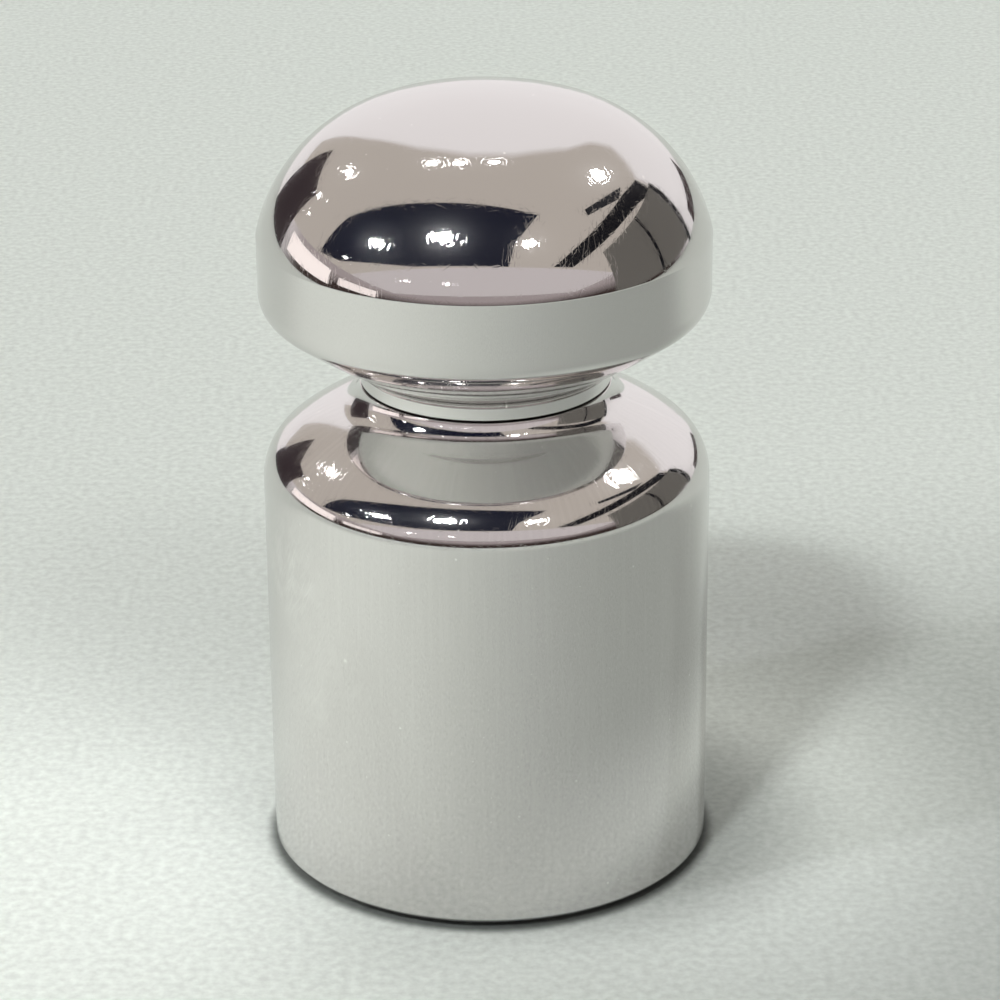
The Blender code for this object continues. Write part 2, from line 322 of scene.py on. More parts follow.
def knob_section(s):
    """(radius, height) down the knob's outside, over its spigot and up to the drill's point."""
    hollow = shoulder_centres(s)[2]
    seat, seam, seam_tilt = seam_edge(s, hollow, 1)
    fillet = (s.neck_radius + s.neck_fillet, hollow[1] + s.neck_wall)
    edge_to_crown = s.underside_crown - s.underside_edge
    crown_radius = s.bar_radius - s.underside_edge - edge_to_crown * math.cos(s.underside_tilt)
    reach = s.underside_crown + s.neck_fillet
    crown = (crown_radius, fillet[1] + math.sqrt(reach**2 - (fillet[0] - crown_radius) ** 2))
    edge = along(crown, edge_to_crown, -s.underside_tilt)
    band_top = (s.bar_radius, edge[1] + s.band_height)
    crown_end = tilt_between(crown, fillet)
    spigot_end = KNOB_LOW.z
    thread = np.arange(spigot_end, TAP_TOP, THREAD_PITCH / ROWS_PER_PITCH)
    return chain(
        dome_section(s, band_top[1]),
        wall(band_top, (s.bar_radius, edge[1]), BAND_ROWS),
        arc(edge, s.underside_edge, 0.0, -s.underside_tilt),
        arc(crown, s.underside_crown, -s.underside_tilt, crown_end),
        cove(fillet, s.neck_fillet, crown_end, 0.0),
        cove(hollow, s.cove_radius, 0.0, seam_tilt),
        arc(seam, s.seam_break, seam_tilt, -math.pi / 2),
        (SPIGOT_RADIUS, seat),
        (SPIGOT_RADIUS, spigot_end + SPIGOT_CHAMFER),
        (SPIGOT_RADIUS - SPIGOT_CHAMFER, spigot_end),
        np.column_stack((np.full(len(thread), TAP_ROOT_RADIUS), thread)),
        (TAP_ROOT_RADIUS, TAP_TOP),
        (0.0, TAP_TOP + TAP_POINT_RISE),
    )


def thread_relief(section):
    """How far a right-hand thread stands out of the tapped hole's root.

    It is depth (1 - |2 f - 1|), where f is the fraction in h / pitch - a / turn.
    """
    height = section[:, 1:]
    from_x = np.arange(COLUMNS) / COLUMNS + QUARTER_TURN
    turn = (height / THREAD_PITCH - from_x) % 1.0
    in_hole = np.isclose(section[:, :1], TAP_ROOT_RADIUS) & (height < TAP_TOP - THREAD_STOP)
    return in_hole * THREAD_DEPTH * (1.0 - np.abs(2.0 * turn - 1.0))


def turned(section, relief=0.0):
    """A section (r, h) turned about Z, in columns that run from +Y towards -X.

    X = (r + relief) sin a, Y = (r + relief) cos a, Z = h, with a from 0 down by even steps.
    """
    a = -np.arange(COLUMNS) * (math.tau / COLUMNS)
    radius = section[:, :1] + relief * np.ones(COLUMNS)
    height = np.broadcast_to(section[:, 1:], radius.shape)
    return np.stack((radius * np.sin(a), radius * np.cos(a), height), axis=2)


def grid_piece(name, section, grid, material):
    """One closed piece from a turned grid.

    A section with its ends on the axis closes in two poles, and any other closes as a ring. The
    map is in metres: the girth of the bar across, and the length of the section down.
    """
    rows = len(section)
    poled = section[0, 0] == 0.0
    last = rows - 1
    starts = np.arange(last if poled else rows)
    down, across = np.meshgrid(starts, np.arange(COLUMNS), indexing="ij")
    row = np.stack((down, down + 1, down + 1, down), axis=2).reshape(-1, 4)
    column = np.stack((across, across, across + 1, across + 1), axis=2).reshape(-1, 4)
    index = (row % rows) * COLUMNS + column % COLUMNS
    points = grid.reshape(-1, 3)
    kept = np.ones(row.shape, bool)
    if poled:
        # The first and last rows are one point each, and their faces are triangles
        points = points[COLUMNS - 1 : 1 - COLUMNS]
        index = np.where(row == last, len(points) - 1, np.maximum(index - COLUMNS + 1, 0))
        kept[row[:, 0] == 0, 3] = False
        kept[row[:, 1] == last, 2] = False
    steps = np.linalg.norm(np.diff(section, axis=0, append=section[:1]), axis=1)
    lengths = np.concatenate(([0.0], np.cumsum(steps)))
    girth = section[:, 0].max() * math.tau
    flat = np.stack((column * (girth / COLUMNS), -lengths[row]), axis=2)

    mesh = bpy.data.meshes.new(name)
    mesh.vertices.add(len(points))
    mesh.vertices.foreach_set("co", points.ravel())
    mesh.loops.add(int(kept.sum()))
    mesh.loops.foreach_set("vertex_index", index[kept])
    mesh.polygons.add(len(index))
    first_loops = np.concatenate(([0], np.cumsum(kept.sum(axis=1))[:-1]))
    mesh.polygons.foreach_set("loop_start", first_loops)
    mesh.update(calc_edges=True)
    mesh.uv_layers.new(name=FLAT_MAP).data.foreach_set("uv", flat[kept].ravel())
    mesh.shade_smooth()
    mesh.set_sharp_from_angle(angle=SHARP_ANGLE)
    mesh.materials.append(material)
    piece = bpy.data.objects.new(name, mesh)
    bpy.context.scene.collection.objects.link(piece)
    return piece


def dress(piece, node):
    """Makes a piece stand for a CAD node, which it hides, and ride on the one body."""
    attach(piece, BODY)
    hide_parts(node)


def add_node(tree, kind, sockets=None, **settings):
    """A node with its settings.

    Each socket gets a value, or a link from a socket or from a node's first output.
    """
    made = tree.nodes.new(kind)
    for setting, value in settings.items():
        setattr(made, setting, value)
    for socket, value in (sockets or {}).items():
        if isinstance(value, bpy.types.Node):
            value = value.outputs[0]
        if isinstance(value, bpy.types.NodeSocket):
            tree.links.new(value, made.inputs[socket])
        else:
            made.inputs[socket].default_value = value
    return made


def new_material(name):
    """A material with its node tree, its Principled shader and its Object coordinates."""
    material = bpy.data.materials.new(name)
    material.use_nodes = True
    tree = material.node_tree
    place = add_node(tree, "ShaderNodeTexCoord").outputs["Object"]
    return material, tree, tree.nodes["Principled BSDF"], place


# Hairlines on a flat map: direction in degrees, length and width in metres, and the noise level
# that one starts at. Real ones are a few microns wide; these are a pixel wide, so that they show.
DOME_HAIRLINES = (
    (8.0, 0.0008, 0.000095, 0.72),
    (47.0, 0.0006, 0.000090, 0.72),
    (83.0, 0.0007, 0.000095, 0.72),
    (112.0, 0.0008, 0.000090, 0.72),
    (151.0, 0.0006, 0.000095, 0.72),
)
WALL_HAIRLINES = (
    (90.0, 0.0034, 0.000090, 0.70),
    (68.0, 0.0010, 0.000090, 0.73),
    (121.0, 0.0009, 0.000095, 0.73),
    (24.0, 0.0008, 0.000090, 0.73),
    (160.0, 0.0008, 0.000090, 0.73),
)
RUB_HAIRLINES = (
    (49.0, 0.0022, 0.00013, 0.68),
    (61.0, 0.0034, 0.00015, 0.67),
    (73.0, 0.0018, 0.00012, 0.69),
    (128.0, 0.0014, 0.00012, 0.71),
)
FIBRES = (
    (15.0, 0.0016, 0.00012, 0.60),
    (100.0, 0.0014, 0.00012, 0.60),
    (55.0, 0.0012, 0.00012, 0.60),
)
HAIRLINE_FADE = 0.12
HAIRLINE_DEPTH = 0.0000007
# Patches that wiping left less sharp: size, noise levels from none to full, added roughness
WIPED_PATCH = 0.007
WIPED_LEVELS = (0.45, 0.75)
WIPED_BLUR = 0.018
# Marks of wiping up and down the wall: width and length in metres, noise levels, greatest paleness
WIPE_MARK = (0.00035, 0.011)
WIPE_LEVELS = (0.45, 0.8)
WIPE_PALENESS = 0.12
# Rubbed places on the base: where, how far they reach, in metres, and how pale they are
SCUFFS = (
    ((-0.0141, -0.0076, 0.0240), 0.0065, 0.8),
    ((-0.0121, -0.0105, 0.0170), 0.0080, 0.35),
    ((0.0090, 0.0132, 0.0120), 0.0065, 0.5),
    ((0.0155, 0.0039, 0.0200), 0.0050, 0.4),
)
# Inside a rubbed place: the patches' size, noise levels and paleness, and the lines' paleness
RUB_PATCH = 0.0016
RUB_LEVELS = (0.40, 0.8)
RUB_PALENESS = 0.9
RUB_LINE_PALENESS = 0.45
# Dust: one speck at most in each cell of this size, its largest radius, and the levels of the
# cell's random value at which a speck starts and is largest
DUST_SPACING = 0.0022
DUST_RADIUS = 0.00009
DUST_LEVELS = (0.6, 0.95)
# One small dent on the base
DENT = (-0.00996, -0.0125, 0.0195)
DENT_RADIUS = 0.00028
DENT_DEPTH = 0.00004
# Clouds in the zinc: size, tone of the darkest, added roughness of the palest
ZINC_CLOUD = 0.002
ZINC_TONE = 0.8
ZINC_BLUR = 0.15
# The felt's pile: how strongly and how far its fibres stand up, and its matt shine
FELT_RELIEF = 0.8
FELT_PILE = 0.00006
FELT_ROUGHNESS = 0.95
FELT_SHEEN = 0.25


def hairlines(tree, flat, lines):
    """A mask of thin marks: noise stretched along each direction, kept where it is high."""
    mask = 0.0
    for degrees, along_m, across_m, level in lines:
        stretched = add_node(
            tree,
            "ShaderNodeMapping",
            {
                "Vector": flat,
                "Rotation": (0.0, 0.0, math.radians(degrees)),
                "Scale": (along_m, across_m, 1.0),
            },
            vector_type="TEXTURE",
        )
        noise = add_node(
            tree,
            "ShaderNodeTexNoise",
            {"Vector": stretched, "Scale": 1.0, "Detail": 0.0},
            noise_dimensions="2D",
        )
        line = add_node(
            tree,
            "ShaderNodeMapRange",
            {"Value": noise, "From Min": level, "From Max": level + HAIRLINE_FADE},
            interpolation_type="SMOOTHSTEP",
        )
        mask = add_node(tree, "ShaderNodeMath", {0: mask, 1: line}, operation="MAXIMUM")
    return mask


def nearness(tree, place, centre, reach, peak):
    """A peak at one point of the piece, falling smoothly to 0 at this reach from it."""
    away = add_node(tree, "ShaderNodeVectorMath", {0: place, 1: centre}, operation="DISTANCE")
    return add_node(
        tree,
        "ShaderNodeMapRange",
        {"Value": away.outputs["Value"], "From Min": reach, "From Max": 0.0, "To Max": peak},
        interpolation_type="SMOOTHSTEP",
    )


def chrome_plate(name, finish, lines, scuffed):
    """Bright chrome, buffed: a neutral mirror, blurred by hairlines, rubbed places and dust.

    The eye sees the surroundings sharply, a halo of scratches round each lamp, and wipe marks.
    """
    material, tree, shader, place = new_material(name)
    flat = add_node(tree, "ShaderNodeUVMap", uv_map=FLAT_MAP) if scuffed else place
    mask = hairlines(tree, flat, lines)
    wiped = add_node(
        tree, "ShaderNodeTexNoise", {"Vector": place, "Scale": 1 / WIPED_PATCH, "Detail": 3.0}
    )
    wiped = add_node(
        tree,
        "ShaderNodeMapRange",
        {"Value": wiped, "From Min": WIPED_LEVELS[0], "From Max": WIPED_LEVELS[1]},
    )
    polish = add_node(
        tree,
        "ShaderNodeMath",
        {0: wiped, 1: WIPED_BLUR, 2: finish.chrome_roughness},
        operation="MULTIPLY_ADD",
    )
    grooves = add_node(
        tree, "ShaderNodeBump", {"Height": mask, "Distance": HAIRLINE_DEPTH}, invert=True
    )
    dust = add_node(
        tree,
        "ShaderNodeTexVoronoi",
        {"Vector": flat, "Scale": 1 / DUST_SPACING},
        voronoi_dimensions="2D",
    )
    grain = add_node(
        tree,
        "ShaderNodeMapRange",
        {
            "Value": dust.outputs["Color"],
            "From Min": DUST_LEVELS[0],
            "From Max": DUST_LEVELS[1],
            "To Max": DUST_RADIUS / DUST_SPACING,
        },
    )
    pale = add_node(tree, "ShaderNodeMath", {0: dust, 1: grain}, operation="LESS_THAN")
    if scuffed:
        streaks = add_node(
            tree,
            "ShaderNodeMapping",
            {"Vector": flat, "Scale": (*WIPE_MARK, 1.0)},
            vector_type="TEXTURE",
        )
        streaks = add_node(
            tree,
            "ShaderNodeTexNoise",
            {"Vector": streaks, "Scale": 1.0, "Detail": 2.0},
            noise_dimensions="2D",
        )
        streaks = add_node(
            tree,
            "ShaderNodeMapRange",
            {
                "Value": streaks,
                "From Min": WIPE_LEVELS[0],
                "From Max": WIPE_LEVELS[1],
                "To Max": WIPE_PALENESS,
            },
        )
        pale = add_node(tree, "ShaderNodeMath", {0: pale, 1: streaks}, operation="MAXIMUM")
        haze = add_node(
            tree, "ShaderNodeTexNoise", {"Vector": place, "Scale": 1 / RUB_PATCH, "Detail": 5.0}
        )
        haze = add_node(
            tree,
            "ShaderNodeMapRange",
            {
                "Value": haze,
                "From Min": RUB_LEVELS[0],
                "From Max": RUB_LEVELS[1],
                "To Max": RUB_PALENESS,
            },
        )
        rubbed = add_node(
            tree,
            "ShaderNodeMath",
            {0: hairlines(tree, flat, RUB_HAIRLINES), 1: RUB_LINE_PALENESS, 2: haze},
            operation="MULTIPLY_ADD",
        )
        for centre, reach, paleness in SCUFFS:
            near = nearness(tree, place, centre, reach, paleness)
            near = add_node(tree, "ShaderNodeMath", {0: rubbed, 1: near}, operation="MULTIPLY")
            pale = add_node(tree, "ShaderNodeMath", {0: pale, 1: near}, operation="MAXIMUM")
        dent = nearness(tree, place, DENT, DENT_RADIUS, 1.0)
        pale = add_node(tree, "ShaderNodeMath", {0: pale, 1: dent}, operation="MAXIMUM")
        grooves = add_node(
            tree,
            "ShaderNodeBump",
            {"Height": dent, "Distance": DENT_DEPTH, "Normal": grooves},
            invert=True,
        )
    tree.links.new(grooves.outputs[0], shader.inputs["Normal"])
    roughness = add_node(
        tree,
        "ShaderNodeMix",
        {"Factor": mask, "A": polish, "B": finish.chrome_hairline},
        data_type="FLOAT",
    )
    roughness = add_node(
        tree,
        "ShaderNodeMix",
        {"Factor": pale, "A": roughness, "B": finish.chrome_dulled},
        data_type="FLOAT",
    )
    tree.links.new(roughness.outputs[0], shader.inputs["Roughness"])
    tint = add_node(
        tree,
        "ShaderNodeMix",
        {"Factor": pale, "A": (*finish.chrome, 1.0), "B": (*finish.chrome_rubbed, 1.0)},
        data_type="RGBA",
    )
    tree.links.new(tint.outputs["Result"], shader.inputs["Base Color"])
    shader.inputs["Metallic"].default_value = 1.0
    # The finest scratches are too small to draw, so a weak, wide second lobe stands in for them
    shader.inputs["Coat Weight"].default_value = finish.chrome_haze
    shader.inputs["Coat Roughness"].default_value = finish.chrome_haze_roughness
    return material


def zinc_plate(finish):
    """Bright zinc on a turned screw: a soft grey shine with cloudy passivation."""
    material, tree, shader, place = new_material("zinc_plated_steel")
    cloud = add_node(
        tree, "ShaderNodeTexNoise", {"Vector": place, "Scale": 1 / ZINC_CLOUD, "Detail": 4.0}
    )
    dark = [ZINC_TONE * channel for channel in finish.zinc]
    tint = add_node(
        tree,
        "ShaderNodeMix",
        {"Factor": cloud, "A": (*dark, 1.0), "B": (*finish.zinc, 1.0)},
        data_type="RGBA",
    )
    tree.links.new(tint.outputs["Result"], shader.inputs["Base Color"])
    rough = add_node(
        tree,
        "ShaderNodeMath",
        {0: cloud, 1: ZINC_BLUR, 2: finish.zinc_roughness},
        operation="MULTIPLY_ADD",
    )
    tree.links.new(rough.outputs[0], shader.inputs["Roughness"])
    shader.inputs["Metallic"].default_value = 1.0
    return material


def wool_felt(finish):
    """Pressed wool felt: matt, dark, with pale loose fibres lying every way."""
    material, tree, shader, place = new_material("pressed_wool_felt")
    fibre = hairlines(tree, place, FIBRES)
    tint = add_node(
        tree,
        "ShaderNodeMix",
        {"Factor": fibre, "A": (*finish.felt, 1.0), "B": (*finish.felt_fibre, 1.0)},
        data_type="RGBA",
    )
    tree.links.new(tint.outputs["Result"], shader.inputs["Base Color"])
    fuzz = add_node(
        tree,
        "ShaderNodeBump",
        {"Height": fibre, "Strength": FELT_RELIEF, "Distance": FELT_PILE},
    )
    tree.links.new(fuzz.outputs[0], shader.inputs["Normal"])
    shader.inputs["Roughness"].default_value = FELT_ROUGHNESS
    shader.inputs["Sheen Weight"].default_value = FELT_SHEEN
    return material


class MARKER_OT_base(bpy.types.Operator):
    """Turn the base, with its shoulder, cove, foot and bored holes"""

    bl_idname = "marker.base"
    bl_label = "Base"

    def execute(self, context):
        section = base_section(context.scene.marker_sizes)
        finish = context.scene.marker_finish
        plate = chrome_plate("chrome_plate_base", finish, WALL_HAIRLINES, scuffed=True)
        dress(grid_piece("base_chrome", section, turned(section), plate), "base_body")
        return {"FINISHED"}


class MARKER_OT_knob(bpy.types.Operator):
    """Turn the knob, with its band, dome, underside, spigot and tapped hole"""

    bl_idname = "marker.knob"
    bl_label = "Knob"

    def execute(self, context):
        section = knob_section(context.scene.marker_sizes)
        finish = context.scene.marker_finish
        plate = chrome_plate("chrome_plate_knob", finish, DOME_HAIRLINES, scuffed=False)
        grid = turned(section, thread_relief(section))
        dress(grid_piece("knob_chrome", section, grid, plate), "knob")
        return {"FINISHED"}


class MARKER_OT_pad(bpy.types.Operator):
    """Cut the felt pad and press it into the foot"""

    bl_idname = "marker.pad"
    bl_label = "Felt pad"

    def execute(self, context):
        s = context.scene.marker_sizes
        edge = s.pad_radius - s.pad_edge
        section = chain(
            wall((0.0, s.pad_thickness), (edge, s.pad_thickness), WALL_ROWS),
            arc((edge, s.pad_thickness - s.pad_edge), s.pad_edge, math.pi / 2, 0.0),
            arc((edge, s.pad_edge), s.pad_edge, 0.0, -math.pi / 2),
            wall((edge, 0.0), (0.0, 0.0), WALL_ROWS),
        )
        felt = wool_felt(context.scene.marker_finish)
        grid = turned(section)
        # Shallow hollows in both faces: depth sin(x / l)^2 sin(y / l)^2, deepest between crests
        waves = np.prod(np.sin(grid[:, :, :2] / PAD_WAVE) ** 2, axis=2)
        grid[:, :, 2] += s.pad_unevenness * waves * np.sign(s.pad_thickness / 2.0 - grid[:, :, 2])
        pad = grid_piece("pad_felt", section, grid, felt)
        dress(pad, "felt_pad")
        return {"FINISHED"}


class MARKER_OT_fixings(bpy.types.Operator):
    """Give the hidden screw and its spring washer their zinc plate"""

    bl_idname = "marker.fixings"
    bl_label = "Screw and washer"

    def execute(self, context):
        zinc = zinc_plate(context.scene.marker_finish)
        for node in ("clamp_screw", "spring_washer"):
            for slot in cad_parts[node].material_slots:
                slot.material = zinc
        return {"FINISHED"}


# Level panels overhead: corners in X and Y, and height, as shares of the lamps' height; colour.
# A flag is a dark panel.
CEILING_COLOUR = "#cac2b9"
CEILING = (
    ("ceiling", ((-4.5, -4.5), (4.5, -4.5), (4.5, 4.5), (-4.5, 4.5)), 1.06, CEILING_COLOUR),
    ("ceiling_front", ((-4.5, -4.5), (4.5, -4.5), (4.5, -1.72), (-4.5, -1.62)), 1.05, "#d8d1d1"),
    (
        "flag_top",
        (
            (-4.1, 0.20),
            (-3.4, -0.70),
            (-1.2, -1.50),
            (0.38, -1.60),
            (0.33, -0.95),
            (0.43, -0.39),
            (-0.27, -0.23),
            (-1.40, 0.06),
        ),
        1.02,
        "#171a2b",
    ),
    (
        "flag_right",
        (
            (1.20, -1.57),
            (1.68, -1.55),
            (1.60, 0.10),
            (1.64, 0.56),
            (1.88, 1.19),
            (1.31, 0.88),
            (1.21, 0.39),
        ),
        1.02,
        "#15151a",
    ),
    ("flag_small", ((0.85, -0.15), (0.94, -0.22), (1.20, 0.29), (1.11, 0.48)), 1.02, "#26262b"),
)
# The diffuser behind the marker: its outline and height as above, and its soft near edge, drawn in
# steps of this shift that rise towards the ceiling
DIFFUSER = (
    (-1.95, 4.4),
    (-0.69, 1.46),
    (-0.31, 0.78),
    (-0.07, 0.55),
    (0.14, 0.54),
    (0.42, 0.78),
    (0.58, 1.10),
    (0.80, 1.24),
    (1.33, 1.00),
    (4.4, 3.15),
    (4.4, 4.4),
)
DIFFUSER_COLOUR = "#fdf9f9"
DIFFUSER_STRENGTH = 1.02
DIFFUSER_HEIGHT = 1.02
DIFFUSER_STEPS = 7
DIFFUSER_SHIFT = 0.022
DIFFUSER_RISE = 0.03
# Round lamps overhead: place in X and Y, and diameter, as shares of their height; watts
LAMPS = (
    ((-1.31, -0.64), 0.16, 38.0),
    ((-0.39, -0.76), 0.16, 36.0),
    ((0.50, -0.88), 0.14, 8.0),
    ((0.76, 0.42), 0.14, 8.0),
    ((-0.95, 0.72), 0.10, 3.2),
    ((-1.72, 0.99), 0.08, 2.0),
    ((-2.50, 1.15), 0.08, 2.0),
    ((-2.75, -0.64), 0.10, 3.2),
    ((-0.12, 0.32), 0.06, 0.8),
    ((-0.26, 0.35), 0.06, 0.8),
    ((0.05, 0.32), 0.06, 0.4),
    ((-1.93, -2.29), 0.10, 2.4),
    ((-0.85, -2.55), 0.10, 2.4),
)
LAMP_HEIGHT = 2.0
# The floor: its size, the size of its grain, the grain's noise levels and the tones that they give
FLOOR_SIZE = 7.0
FLOOR_GRAIN = 0.0007
FLOOR_GRAIN_LEVELS = (0.3, 0.7)
FLOOR_GRAIN_TONES = (0.90, 1.10)
# Painted light and shade on the floor. Away from the marker its tone runs from the first share,
# painted shade, to the second, painted light on its lit side, which the power narrows. This begins
# at the clear ring, sooner on the lit side by the lean. It ends at the pool's edge, and behind the
# marker between these values of Y.
FLOOR_PAINTED_TONES = (0.64, 1.36)
FLOOR_PAINTED_LIT_SIDE = (-0.940, -0.342, 0.0)
FLOOR_SIDE_POWER = 2.0
FLOOR_CLEAR = (0.022, 0.047)
FLOOR_LEAN = 0.020
FLOOR_POOL = (0.40, 0.16)
FLOOR_BEHIND = (0.075, 0.010)
# Painted shadows on the floor at the foot: middle, where they start and end, darkest share
FOOT_PAINTED_SHADOWS = (
    ((0.0, 0.0, 0.0), (0.0158, 0.0170), 0.25),
    ((0.0065, 0.0010, 0.0), (0.0110, 0.0220), 0.60),
)
# Upright panels: azimuth and elevation of the middle, width and height, in degrees, distance,
# colour, strength. Azimuth 0 is towards the camera and grows to its right.
UPRIGHTS = (
    ("flag_left", (-134.5, 13.0), (25.0, 28.0), 2.6, "#3a3033", 1.0),
    ("screen_right", (97.0, 16.5), (58.0, 29.0), 2.8, "#6f6c67", 1.0),
    ("strip_back", (125.0, 14.0), (2.5, 28.0), 2.6, "#15151a", 1.0),
    ("strip_middle", (98.5, 16.5), (2.0, 29.0), 2.6, "#15151a", 1.0),
    ("flag_back_right", (145.0, 1.5), (20.0, 6.0), 2.6, "#3a2a2c", 1.0),
    ("glow_left", (-99.0, 7.0), (34.0, 8.0), 2.6, "#fdf3ef", 1.4),
    ("glow_front", (-65.0, 7.0), (22.0, 4.0), 2.6, "#fdf3ef", 1.3),
)
# The far walls: the low strip's colour and the colour above it, the rise of a direction between
# which they change, and how far back a direction points where they turn white
WALL_LOW_COLOUR = "#3c302d"
WALL_HIGH_COLOUR = "#b0a5a5"
WALL_RISE = (0.07, 0.16)
WALL_BEHIND = (0.2, 0.75)
# The camera's sensor in millimetres, and the nearest that it sees in metres
SENSOR_WIDTH = 36.0
CLIP_START = 0.01


def emitter(name, tint, strength):
    """A matt surface lit from within, for what the metal mirrors."""
    material = bpy.data.materials.new(name)
    material.use_nodes = True
    tree = material.node_tree
    tree.nodes.clear()
    glow = add_node(tree, "ShaderNodeEmission", {"Color": (*tint, 1.0), "Strength": strength})
    add_node(tree, "ShaderNodeOutputMaterial", {"Surface": glow})
    return material


def panel(name, corners, material):
    """A flat stage piece through its corners."""
    mesh = bpy.data.meshes.new(name)
    mesh.from_pydata(corners, [], [tuple(range(len(corners)))])
    mesh.materials.append(material)
    piece = bpy.data.objects.new(name, mesh)
    bpy.context.scene.collection.objects.link(piece)
    return piece


def glowing_panel(name, corners, tint, strength=1.0):
    """A panel lit from within that only the metal and the floor see, not the camera."""
    panel(name, corners, emitter(name, tint, strength)).visible_camera = False


def upright_corners(place, size, distance):
    """Corners of an upright panel that faces the marker."""
    (a, e), (width, height) = np.radians(place), np.radians(size) / 2.0
    out = Vector((math.sin(a) * math.cos(e), -math.cos(a) * math.cos(e), math.sin(e))) * distance
    across = Vector((math.cos(a), math.sin(a), 0.0)) * distance * math.tan(width)
    up = Vector((0.0, 0.0, 1.0)) * distance * math.tan(height)
    return [out - across - up, out + across - up, out + across + up, out - across + up]


